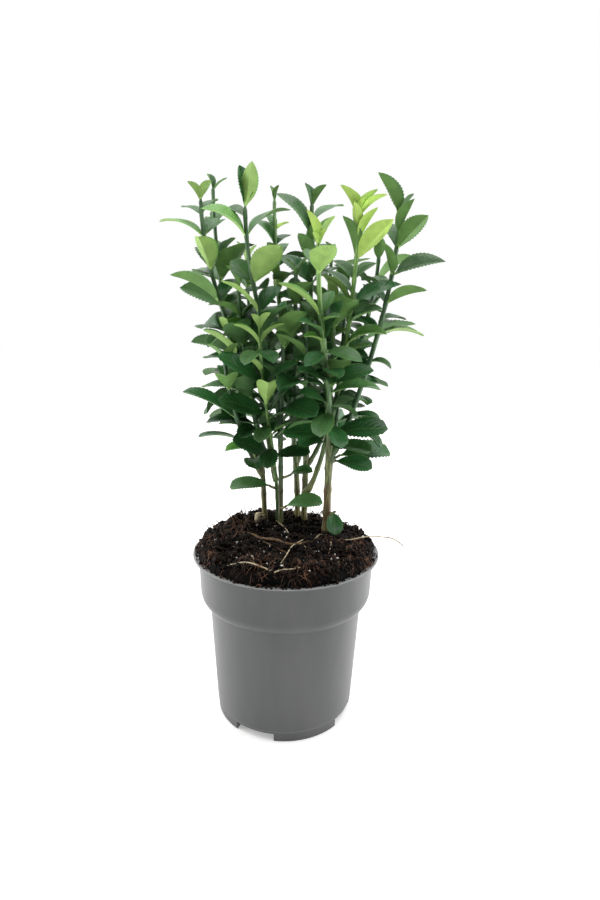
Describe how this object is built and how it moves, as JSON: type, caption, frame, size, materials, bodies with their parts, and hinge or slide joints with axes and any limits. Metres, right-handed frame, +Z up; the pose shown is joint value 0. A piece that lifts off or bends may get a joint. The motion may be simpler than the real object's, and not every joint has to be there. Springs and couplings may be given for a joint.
{
  "type": "potted japanese spindle",
  "caption": "Young evergreen japanese spindle shrub, upright leafy stems in opposite pairs of toothed leaves, growing in a round grey nursery pot filled with peat.",
  "frame": {"origin": "on the pot's axis, at the flat pad under the pot, on the ground", "axes": "+Z up along the pot's axis, +X to the right and +Y to the back as the picture shows the plant"},
  "size_m": [0.154, 0.1409, 0.3028],
  "materials": {
    "pot_plastic": "matte moulded grey",
    "peat": "moist dark peat with fibres",
    "bark": "thin green-brown bark",
    "leaf_dark": "glossy dark green leaf",
    "leaf_mid": "glossy green leaf",
    "leaf_fresh": "satin fresh green leaf"
  },
  "bodies": {
    "root": {"pot": "pot_plastic", "soil": "peat", "stem_1": "bark", "stem_2": "bark", "stem_3": "bark", "stem_4": "bark", "stem_5": "bark", "stem_6": "bark", "bough_7": "bark", "bough_8": "bark", "bough_9": "bark", "bough_10": "bark", "bough_11": "bark", "bough_12": "bark", "bough_13": "bark", "bough_14": "bark", "bough_15": "bark", "bough_16": "bark", "bough_17": "bark", "bough_18": "bark", "bough_19": "bark", "foliage_1": "leaf_mid", "foliage_2": "leaf_mid", "foliage_3": "leaf_fresh", "foliage_4": "leaf_mid", "foliage_5": "leaf_dark", "foliage_6": "leaf_fresh", "foliage_7": "leaf_mid", "foliage_8": "leaf_fresh", "foliage_9": "leaf_mid", "foliage_10": "leaf_mid", "foliage_11": "leaf_mid", "foliage_12": "leaf_mid", "foliage_13": "leaf_dark", "foliage_14": "leaf_dark", "foliage_15": "leaf_dark", "foliage_16": "leaf_dark", "foliage_17": "leaf_dark", "foliage_18": "leaf_dark", "foliage_19": "leaf_dark", "sprig_1": "leaf_mid", "sprig_2": "leaf_dark", "sprig_3": "leaf_mid", "sprig_4": "leaf_dark", "sprig_5": "leaf_dark", "sprig_6": "leaf_mid"}
  },
  "joints": []
}
